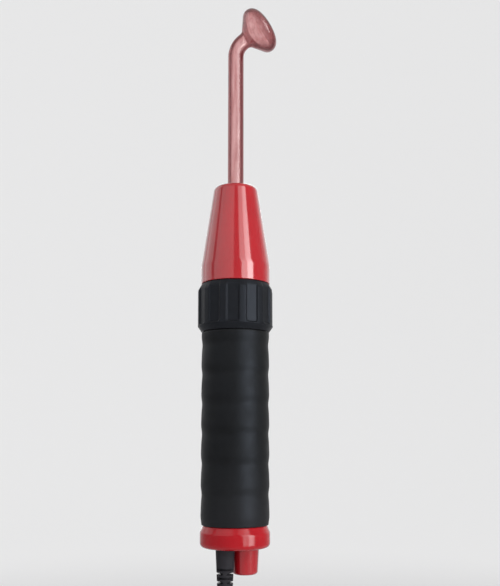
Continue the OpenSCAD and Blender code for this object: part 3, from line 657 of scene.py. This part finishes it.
# Grip sleeve
# Soft rubber sleeve pushed over the body tube between the collar and the cap.
# It is moulded with shallow rings a finger's width apart.
GRIP_LOW, GRIP_TOP, GRIP_BORE = -66.1, 65.1, 20.75
GRIP_RADIUS, GRIP_WAVE, GRIP_PITCH, GRIP_CREST, GRIP_LEAN, GRIP_EDGE = 23.15, 0.3, 20.4, 2.0, 35, 0.6
GRIP_ROWS, GRIP_EDGE_STEPS = 264, (0.0, 0.04, 0.12, 0.25, 0.4)


def grip_outline(z):
    """Radius of the ringed sleeve at a height, drawn in at its two ends."""
    turn = 2 * math.pi * (z - GRIP_CREST) / GRIP_PITCH
    r = GRIP_RADIUS + GRIP_WAVE * math.cos(turn + math.radians(GRIP_LEAN) * (math.cos(turn) - 1))
    edge = min(z - GRIP_LOW, GRIP_TOP - z)
    fall = max(0.0, GRIP_EDGE - edge) / GRIP_EDGE
    return r - GRIP_EDGE * (1 - math.sqrt(max(0.0, 1 - fall**2)))


grip_profile = [(GRIP_BORE, GRIP_LOW)]
for end in GRIP_EDGE_STEPS:
    grip_profile.append((grip_outline(GRIP_LOW + end), GRIP_LOW + end))
for i in range(1, GRIP_ROWS):
    z = GRIP_LOW + GRIP_EDGE + (GRIP_TOP - GRIP_LOW - 2 * GRIP_EDGE) * i / GRIP_ROWS
    grip_profile.append((grip_outline(z), z))
for end in reversed(GRIP_EDGE_STEPS):
    grip_profile.append((grip_outline(GRIP_TOP - end), GRIP_TOP - end))
grip_profile.append((GRIP_BORE, GRIP_TOP))
grip_rubber = turned("grip_rubber", grip_profile, closed=True)

# Soft moulded rubber: near black, a broad dull sheen that is a little cool, with a fine skin of 0.3 mm grain,
# a faint bloom, and a greyer colour towards its lower end.
soft_rubber, tree, shader, place = start_material(
    "grip_rubber_soft",
    {
        "Roughness": 0.45, "IOR": 1.5, "Specular IOR Level": 0.24, "Specular Tint": linear("#DCEAFF"),
        "Base Color": linear("#13120F"),
    },
)
grain = add_node(tree, "TexNoise", {"Vector": place, "Scale": per_metre(0.3), "Detail": 2})
bloom = add_node(tree, "TexNoise", {"Vector": place, "Scale": per_metre(11), "Detail": 4})
tint = add_node(
    tree, "Mix", {0: bloom.outputs["Fac"], 6: linear("#0F0E0C"), 7: linear("#171614")}, data_type="RGBA"
)
# The colour turns greyer towards the lower end of the sleeve.
level = add_node(tree, "SeparateXYZ", {"Vector": place})
greyer_low_end = add_node(
    tree, "MapRange",
    {"Value": level.outputs["Z"], "From Min": -0.02, "From Max": -0.066, "To Min": 0.0, "To Max": 1.0},
)
tint = add_node(
    tree, "Mix", {0: greyer_low_end.outputs["Result"], 6: tint.outputs[2], 7: linear("#201F1F")}, data_type="RGBA"
)
tree.links.new(tint.outputs[2], shader.inputs["Base Color"])
dull = add_node(
    tree, "MapRange",
    {"Value": bloom.outputs["Fac"], "From Min": 0.3, "From Max": 0.7, "To Min": 0.44, "To Max": 0.58},
)
tree.links.new(dull.outputs["Result"], shader.inputs["Roughness"])
bump = add_node(tree, "Bump", {"Strength": 0.2, "Distance": 0.00004, "Height": grain.outputs["Fac"]})
tree.links.new(bump.outputs["Normal"], shader.inputs["Normal"])
grip_rubber.data.materials.append(soft_rubber)
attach(grip_rubber, "handle")
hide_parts("grip_sleeve")


# Nose cone
# Tapered nose moulded in the same polished red plastic as the knob. Its flange sits in the collar, and the
# electrode's stem comes out of the rounded tip through a clear bore.
NOSE_TAPER = math.tan(math.radians(8.8))
NOSE_BASE, NOSE_BEND, NOSE_TOP, NOSE_RADIUS = 99.3, 111.84, 169.1, 24.0
FLANGE_RADIUS, FLANGE_LOW, FLANGE_TOP, FLANGE_NECK = 23.3, 90.2, 95.4, 21.2
FOOT_BORE, COIL_BORE, SOCKET_BORE, STEM_BORE = 19.5, 11.9, 8.3, 6.05
FOOT_BORE_TOP, SOCKET_LOW, SOCKET_TOP = 113.3, 150.3, 164.3
nose_shell = turned("nose_shell", eased_profile([
    (FOOT_BORE, FLANGE_LOW, 0), (FLANGE_RADIUS, FLANGE_LOW, 0.3), (FLANGE_RADIUS, FLANGE_TOP, 0.3),
    (FLANGE_NECK, FLANGE_TOP, 0.2), (FLANGE_NECK, NOSE_BASE, 0.2), (NOSE_RADIUS, NOSE_BASE, 0.4),
    (NOSE_RADIUS, NOSE_BEND, 20), (NOSE_RADIUS - (NOSE_TOP - NOSE_BEND) * NOSE_TAPER, NOSE_TOP, 3.5),
    (STEM_BORE, NOSE_TOP, 0.5), (STEM_BORE, SOCKET_TOP, 0), (SOCKET_BORE, SOCKET_TOP, 0),
    (SOCKET_BORE, SOCKET_LOW, 0), (COIL_BORE, SOCKET_LOW, 0), (FOOT_BORE, FOOT_BORE_TOP, 0),
], parts=10), closed=True)
nose_shell.data.materials.append(red_abs)
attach(nose_shell, "nose")
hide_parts("nose_cone")


# Collar
# Ring moulded in black plastic that screws on the body tube and clamps the nose by its flange. Twelve flat
# flutes for the fingers run out through the bevelled upper edge and stop short of the lower one.
COLLAR_LOW, COLLAR_TOP, COLLAR_RADIUS = 65.4, 99.0, 26.2
LOW_BEVEL, LOW_BEVEL_HEIGHT, TOP_BEVEL, TOP_BEVEL_HEIGHT = 2.8, 4, 2.6, 4.5
COLLAR_BORE, COLLAR_MOUTH, RECESS_RADIUS, RECESS_LOW, RECESS_TOP = 21.45, 21.5, 23.6, 88.7, 95.7
FOOT_EASE, TOP_LAND = 0.4, 23.0
FLUTES, FLUTE_FIRST, FLUTE_FLOOR, FLUTE_HALF, FLUTE_LOW, FLUTE_CORNER = 12, 27.0, 24.9, 3.7, 70.4, 1.3
EDGE_OUT, EDGE_IN = 0.9, 0.3
collar_side = eased_profile([
    (COLLAR_BORE, COLLAR_LOW, 0), (COLLAR_RADIUS - LOW_BEVEL, COLLAR_LOW, FOOT_EASE),
    (COLLAR_RADIUS, COLLAR_LOW + LOW_BEVEL_HEIGHT, 0.9), (COLLAR_RADIUS, COLLAR_TOP - TOP_BEVEL_HEIGHT, 3.5),
    (COLLAR_RADIUS - TOP_BEVEL, COLLAR_TOP, 0.5), (COLLAR_MOUTH, COLLAR_TOP, 0),
])


def side_radius(z):
    """Radius of the collar's plain outline at a height."""
    for (ra, za), (rb, zb) in zip(collar_side[1:], collar_side[2:]):
        if za <= z <= zb and zb > za:
            return ra + (rb - ra) * (z - za) / (zb - za)
    return COLLAR_RADIUS - (LOW_BEVEL if z <= COLLAR_LOW else TOP_BEVEL)


def flute_depth(turn, z):
    """How far inside a flute a place is, in millimetres, negative outside; its lower corners are rounded."""
    x = abs(FLUTE_FLOOR * math.tan(turn)) - FLUTE_HALF + FLUTE_CORNER
    y = FLUTE_LOW + FLUTE_CORNER - z
    outside = math.hypot(max(x, 0.0), max(y, 0.0))
    return FLUTE_CORNER - outside - min(max(x, y), 0.0)


# Turns in degrees from a flute's middle, close together at its edge.
half_flute = [
    -14.0, -12.4, -11.4, -11.0, -10.6, -10.2, -9.8, -9.4, -9.0, -8.7, -8.4, -8.1, -7.8, -7.5, -7.2,
    -6.6, -5.6, -4.0, -2.0,
]
flute_turns = [*half_flute, 0.0, *[-t for t in reversed(half_flute)]]
collar_columns = []
for i in range(FLUTES):
    middle = FLUTE_FIRST - 90 + 360 * i / FLUTES
    collar_columns += [(math.radians(middle + t), math.radians(t)) for t in flute_turns]


def plain_ring(r, z):
    """A level circle on the collar's columns."""
    return [(r * math.cos(a), r * math.sin(a), z) for a, t in collar_columns]


# The levels lie close together where the flutes end.
collar_levels = [p[1] for p in collar_side if COLLAR_LOW < p[1] < 69.1]
collar_levels += [69.2 + 0.13 * i for i in range(28)]
collar_levels += [73.4, 74.5, 76, 78, 80, 83, 86, 89, 91, 92]
collar_levels += [p[1] for p in collar_side if 92.2 < p[1] < COLLAR_TOP]
collar_rings = [plain_ring(COLLAR_BORE, COLLAR_LOW)]
collar_rings.append(plain_ring(COLLAR_RADIUS - LOW_BEVEL - FOOT_EASE, COLLAR_LOW))
for z in sorted(set(collar_levels)):
    plain = side_radius(z)
    ring = []
    for a, t in collar_columns:
        floor = min(plain, FLUTE_FLOOR / math.cos(t))
        r = plain + (floor - plain) * soft_step(flute_depth(t, z), -EDGE_OUT, EDGE_IN)
        ring.append((r * math.cos(a), r * math.sin(a), z))
    collar_rings.append(ring)
collar_rings += [plain_ring(TOP_LAND, COLLAR_TOP), plain_ring(COLLAR_MOUTH, COLLAR_TOP)]
collar_rings += [plain_ring(COLLAR_MOUTH, RECESS_TOP), plain_ring(RECESS_RADIUS, RECESS_TOP)]
collar_rings += [plain_ring(RECESS_RADIUS, RECESS_LOW), plain_ring(COLLAR_BORE, RECESS_LOW)]
collar_shell = skin("collar_shell", collar_rings, closed=True)

# Moulded black plastic, matt tool: a satin sheen that draws a soft line along each flute, with a fine grain.
collar_plastic, tree, shader, place = start_material(
    "collar_plastic_satin",
    {
        "Roughness": 0.38, "IOR": 1.5, "Specular IOR Level": 0.16, "Specular Tint": linear("#DCEAFF"),
        "Base Color": linear("#1B1C1E"),
    },
)
grain = add_node(tree, "TexNoise", {"Vector": place, "Scale": per_metre(0.3), "Detail": 2})
handled = add_node(tree, "TexNoise", {"Vector": place, "Scale": per_metre(6), "Detail": 4})
tint = add_node(
    tree, "Mix", {0: handled.outputs["Fac"], 6: linear("#18191B"), 7: linear("#202124")}, data_type="RGBA"
)
tree.links.new(tint.outputs[2], shader.inputs["Base Color"])
dull = add_node(
    tree, "MapRange",
    {"Value": handled.outputs["Fac"], "From Min": 0.3, "From Max": 0.7, "To Min": 0.34, "To Max": 0.44},
)
tree.links.new(dull.outputs["Result"], shader.inputs["Roughness"])
bump = add_node(tree, "Bump", {"Strength": 0.12, "Distance": 0.00003, "Height": grain.outputs["Fac"]})
tree.links.new(bump.outputs["Normal"], shader.inputs["Normal"])
collar_shell.data.materials.append(collar_plastic)
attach(collar_shell, "collar")
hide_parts("collar_ring")


# Electrode
# One hollow piece of blown glass: a neck cemented into a metal foot, a straight stem, a bend, and a
# mushroom head with a flared back and a domed face. The foot's rubber ring holds it in the socket.
STEM_RADIUS, GLASS_WALL, NECK_RADIUS, NECK_BORE = 5.6, 1.1, 4.65, 3.6
NECK_LOW, NECK_TOP, STEM_LOW, BEND_LEVEL = 133.8, 143.3, 145.3, 267.1
SHOULDER_RADIUS, SHOULDER_LEVEL, STEM_BORE_LOW = 5.1, 144.3, 146.3
BEND_RADIUS, BEND_ANGLE = 15.0, 53.0
HEAD_RADIUS, HEAD_RIM, HEAD_BULGE, HEAD_FLARE, FLARE_ROUND = 16.75, 5.5, 7.1, 50.0, 4.3
GLASS_COLUMNS = 96


def head_profile(depth):
    """Profile of the mushroom head about its own axis, at a depth inside the glass."""
    flare_centre, rim_centre = STEM_RADIUS + 0.05 + FLARE_ROUND, HEAD_RADIUS - HEAD_RIM
    flare = math.radians(HEAD_FLARE)
    run = rim_centre + (HEAD_RIM + FLARE_ROUND) * math.cos(flare) - flare_centre
    rim_level = (HEAD_RIM + FLARE_ROUND) * math.sin(flare) + run / math.tan(flare)
    rise = HEAD_BULGE - HEAD_RIM
    drop = (rim_centre**2 - rise**2) / (2 * rise)
    dome_angle = math.atan2(drop, rim_centre)
    flare_round, rim_round, dome_round = FLARE_ROUND + depth, HEAD_RIM - depth, drop + HEAD_BULGE - depth
    line = []
    for i in range(1, 13):
        a = math.pi - flare * i / 12
        line.append((flare_centre + flare_round * math.cos(a), flare_round * math.sin(a)))
    for i in range(25):
        a = -flare + (dome_angle + flare) * i / 24
        line.append((rim_centre + rim_round * math.cos(a), rim_level + rim_round * math.sin(a)))
    for i in range(1, 15):
        a = dome_angle + (math.pi / 2 - dome_angle) * i / 14
        line.append((dome_round * math.cos(a), rim_level - drop + dome_round * math.sin(a)))
    return line


def glass_ring(centre, across, radius):
    """A ring of points square to the stem's line; across lies in the plane of the bend."""
    side = Vector((0, 1, 0))
    spokes = [2 * math.pi * k / GLASS_COLUMNS for k in range(GLASS_COLUMNS)]
    return [centre + radius * (math.cos(a) * across + math.sin(a) * side) for a in spokes]


def glass_skin(foot, stem, head):
    """Rings of one face of the glass, from the neck to the pole of the head."""
    rings = [glass_ring(Vector((0, 0, z)), Vector((1, 0, 0)), r) for r, z in foot]
    for i in range(24):
        z = STEM_LOW + 2 + (BEND_LEVEL - STEM_LOW - 2) * i / 24
        rings.append(glass_ring(Vector((0, 0, z)), Vector((1, 0, 0)), stem))
    turn_centre = Vector((BEND_RADIUS, 0, BEND_LEVEL))
    for i in range(27):
        a = math.radians(BEND_ANGLE) * i / 26
        across = Vector((math.cos(a), 0, -math.sin(a)))
        rings.append(glass_ring(turn_centre - BEND_RADIUS * across, across, stem))
    along = Vector((math.sin(a), 0, math.cos(a)))
    end = turn_centre - BEND_RADIUS * across
    for r, h in head[:-1]:
        rings.append(glass_ring(end + along * h, across, r))
    rings.append([end + along * head[-1][1]])
    return rings


glass_outer = glass_skin(
    [
        (NECK_RADIUS, NECK_LOW), (NECK_RADIUS, NECK_TOP), (SHOULDER_RADIUS, SHOULDER_LEVEL),
        (STEM_RADIUS, STEM_LOW),
    ],
    STEM_RADIUS, head_profile(0.0),
)
glass_inner = glass_skin(
    [(NECK_BORE, NECK_LOW), (NECK_BORE, SHOULDER_LEVEL), (STEM_RADIUS - GLASS_WALL, STEM_BORE_LOW)],
    STEM_RADIUS - GLASS_WALL, head_profile(GLASS_WALL),
)
electrode_tube = skin("electrode_tube", [*reversed(glass_outer), *glass_inner])

# Blown borosilicate glass with a rosy stain: clear with sharp highlights, drawn streaks of about 2 mm along
# it, and deeper in colour at its edges, where one looks along the wall, though less so on the wide head. That
# edge colour is partly the stain and partly painted shade, for dark surroundings seen through the edges.
rose_glass, tree, shader, place = start_material(
    "rose_glass_blown",
    {"Roughness": 0.0, "IOR": 1.47, "Transmission Weight": 1.0, "Base Color": linear("#FFF4F3")},
)
drawn = add_node(tree, "Mapping", {"Vector": place, "Scale": (1, 1, 0.12)})
streaks = add_node(
    tree, "TexNoise", {"Vector": drawn.outputs["Vector"], "Scale": per_metre(2.2), "Detail": 4}
)
band = add_node(tree, "MapRange", {"Value": streaks.outputs["Fac"], "From Min": 0.35, "From Max": 0.65})
body = add_node(
    tree, "Mix", {0: band.outputs["Result"], 6: linear("#EAD8D8"), 7: linear("#FFFFFF")}, data_type="RGBA"
)
# Painted shade as well as stain: the colour turns dark rose where the glass is seen edge-on.
edge = add_node(tree, "LayerWeight", {"Blend": 0.5})
level = add_node(tree, "SeparateXYZ", {"Vector": place})
blown = add_node(
    tree, "MapRange",
    {"Value": level.outputs["Z"], "From Min": 0.276, "From Max": 0.292, "To Min": 0.0, "To Max": 0.22},
)
stain_and_shade_edge = add_node(
    tree, "Math", {0: edge.outputs["Facing"], 1: blown.outputs["Result"]}, operation="SUBTRACT"
)
deep = add_node(
    tree, "MapRange", {"Value": stain_and_shade_edge.outputs[0], "From Min": 0.1, "From Max": 0.48},
    interpolation_type="SMOOTHSTEP",
)
tint = add_node(
    tree, "Mix", {0: deep.outputs["Result"], 6: body.outputs[2], 7: linear("#7E4A4F")}, data_type="RGBA"
)
tree.links.new(tint.outputs[2], shader.inputs["Base Color"])
ripple = add_node(tree, "TexNoise", {"Vector": drawn.outputs["Vector"], "Scale": per_metre(5), "Detail": 2})
bump = add_node(tree, "Bump", {"Strength": 0.35, "Distance": 0.0004, "Height": ripple.outputs["Fac"]})
tree.links.new(bump.outputs["Normal"], shader.inputs["Normal"])
stain = add_node(tree, "VolumeAbsorption", {"Color": linear("#F2A3A2"), "Density": 470.0})
tree.links.new(stain.outputs["Volume"], tree.nodes["Material Output"].inputs["Volume"])
electrode_tube.data.materials.append(rose_glass)
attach(electrode_tube, "electrode")
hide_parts("electrode_glass")

# Spun aluminium: pale grey metal with fine rings from the tool, 0.35 mm apart.
aluminium, tree, shader, place = start_material(
    "aluminium_spun", {"Metallic": 1.0, "Roughness": 0.3, "Base Color": linear("#C6C8CA")}
)
stretch = add_node(tree, "Mapping", {"Vector": place, "Scale": (0.1, 0.1, 1)})
rings = add_node(
    tree, "TexNoise", {"Vector": stretch.outputs["Vector"], "Scale": per_metre(0.35), "Detail": 2}
)
dull = add_node(tree, "MapRange", {"Value": rings.outputs["Fac"], "To Min": 0.22, "To Max": 0.42})
tree.links.new(dull.outputs["Result"], shader.inputs["Roughness"])
dress("electrode_ferrule", aluminium)

# Cement of lead oxide and glycerine: off-white, chalky and pitted.
cement, tree, shader, place = start_material(
    "litharge_cement", {"Roughness": 0.85, "Base Color": linear("#D9D4C6")}
)
pits = add_node(tree, "TexNoise", {"Vector": place, "Scale": per_metre(0.6), "Detail": 4})
tint = add_node(
    tree, "Mix", {0: pits.outputs["Fac"], 6: linear("#C8C2B2"), 7: linear("#E6E2D6")}, data_type="RGBA"
)
tree.links.new(tint.outputs[2], shader.inputs["Base Color"])
dress("electrode_cement", cement)


# Studio
# A pale bowl of paper round the wand, so that every side has the same plain ground, under an even white sky.
# Tall soft lamps on the right give the narrow highlight, and broad ones on the left the sheen. Behind it, a
# strip gives a highlight too, and a broad lamp that is not mirrored only fills.
FLOOR_LEVEL, BOWL_FLAT, BOWL_BEND, BOWL_TOP = -362.0, 2600, 1200, 3200
bowl_profile = [(0, FLOOR_LEVEL)]
for degrees in range(0, 91, 6):
    a = math.radians(degrees)
    bowl_profile.append(
        (BOWL_FLAT + BOWL_BEND * math.sin(a), FLOOR_LEVEL + BOWL_BEND * (1 - math.cos(a)))
    )
bowl_profile.append((BOWL_FLAT + BOWL_BEND, BOWL_TOP))
bowl = turned("paper_bowl", bowl_profile)

# Matt paper: plain and pale near the wand, where it keeps the shadow. Away from the wand the eye, and the
# glass, see it fade to near white on every side, and reflections only behind. It sheds no extra light.
PAPER_NEAR, PAPER_FAR, PAPER_WHITE = 0.2, 2.2, 0.7
MIRROR_NEAR, MIRROR_FAR = 1.0, 3.2
paper, tree, shader, place = start_material("paper_matt", {"Roughness": 0.9, "Base Color": linear("#D9D9DB")})
rays = add_node(tree, "LightPath", {})
looked_at = add_node(
    tree, "Math", {0: rays.outputs["Is Camera Ray"], 1: rays.outputs["Is Transmission Ray"]},
    operation="MAXIMUM",
)
level = add_node(tree, "Mapping", {"Vector": place, "Scale": (1, 1, 0)})
reach = add_node(tree, "VectorMath", {0: level.outputs["Vector"]}, operation="LENGTH")
around = add_node(
    tree, "MapRange",
    {
        "Value": reach.outputs["Value"], "From Min": PAPER_NEAR, "From Max": PAPER_FAR,
        "To Min": 0.0, "To Max": PAPER_WHITE,
    },
    interpolation_type="SMOOTHSTEP",
)
seen = add_node(tree, "Math", {0: looked_at.outputs[0], 1: around.outputs["Result"]}, operation="MULTIPLY")
depth = add_node(tree, "SeparateXYZ", {"Vector": place})
behind = add_node(
    tree, "MapRange",
    {
        "Value": depth.outputs["Y"], "From Min": MIRROR_NEAR, "From Max": MIRROR_FAR,
        "To Min": 0.0, "To Max": PAPER_WHITE,
    },
    interpolation_type="SMOOTHSTEP",
)
mirrored = add_node(
    tree, "Math", {0: rays.outputs["Is Glossy Ray"], 1: behind.outputs["Result"]}, operation="MULTIPLY"
)
share = add_node(tree, "Math", {0: seen.outputs[0], 1: mirrored.outputs[0]}, operation="MAXIMUM")
white = add_node(tree, "Emission", {"Color": linear("#FFFFFF"), "Strength": 1.0})
lit = add_node(
    tree, "MixShader",
    {0: share.outputs[0], 1: shader.outputs["BSDF"], 2: white.outputs["Emission"]},
)
tree.links.new(lit.outputs["Shader"], tree.nodes["Material Output"].inputs["Surface"])
bowl.data.materials.append(paper)

world = bpy.data.worlds.new("sky")
world.use_nodes = True
world.node_tree.nodes["Background"].inputs["Color"].default_value = (1.0, 1.0, 1.0, 1.0)
world.node_tree.nodes["Background"].inputs["Strength"].default_value = 0.5
scene.world = world


def soft_lamp(name, azimuths, heights, distance, width, power, spread=180, mirrored=True):
    """A soft box facing the handle, from its lower to its upper end; azimuths go right from the camera."""
    low, top = [
        Vector((distance * math.sin(math.radians(a)), -distance * math.cos(math.radians(a)), h))
        for a, h in zip(azimuths, heights)
    ]
    centre, up = (low + top) / 2, (top - low).normalized()
    across = up.cross(Vector((centre.x, centre.y, 0))).normalized()
    data = bpy.data.lights.new(name, "AREA")
    data.shape = "RECTANGLE"
    data.size, data.size_y = width, (top - low).length
    data.energy = power
    data.spread = math.radians(spread)
    lamp = bpy.data.objects.new(name, data)
    facing = Matrix((across, up, across.cross(up))).transposed().to_4x4()
    lamp.matrix_world = Matrix.Translation(centre) @ facing
    lamp.visible_camera = False
    lamp.visible_transmission = False
    lamp.visible_glossy = mirrored
    scene.collection.objects.link(lamp)
    return lamp


soft_lamp("key_right", (58, 42), (-0.3, 1.3), 1.4, 0.5, 5.8, 100)
soft_lamp("key_wing", (38, 21), (-0.3, 1.3), 1.4, 0.45, 2.4, 100)
soft_lamp("fill_left", (-40, -40), (0.2, 2.0), 1.9, 2.65, 10)
soft_lamp("rim_left", (-105, -105), (0.25, 1.65), 1.4, 1.0, 3)
strip_back = soft_lamp("strip_back", (186, 174), (-0.2, 1.4), 1.5, 0.3, 2.4, 100)
# The strip is flagged off the glass, where it would draw a white edge.
flagged = bpy.data.collections.new("flagged_from_strip")
flagged.objects.link(electrode_tube)
flagged.collection_objects[0].light_linking.link_state = "EXCLUDE"
strip_back.light_linking.receiver_collection = flagged
soft_lamp("fill_back", (180, 180), (0.4, 2.2), 2.0, 2.4, 11, mirrored=False)
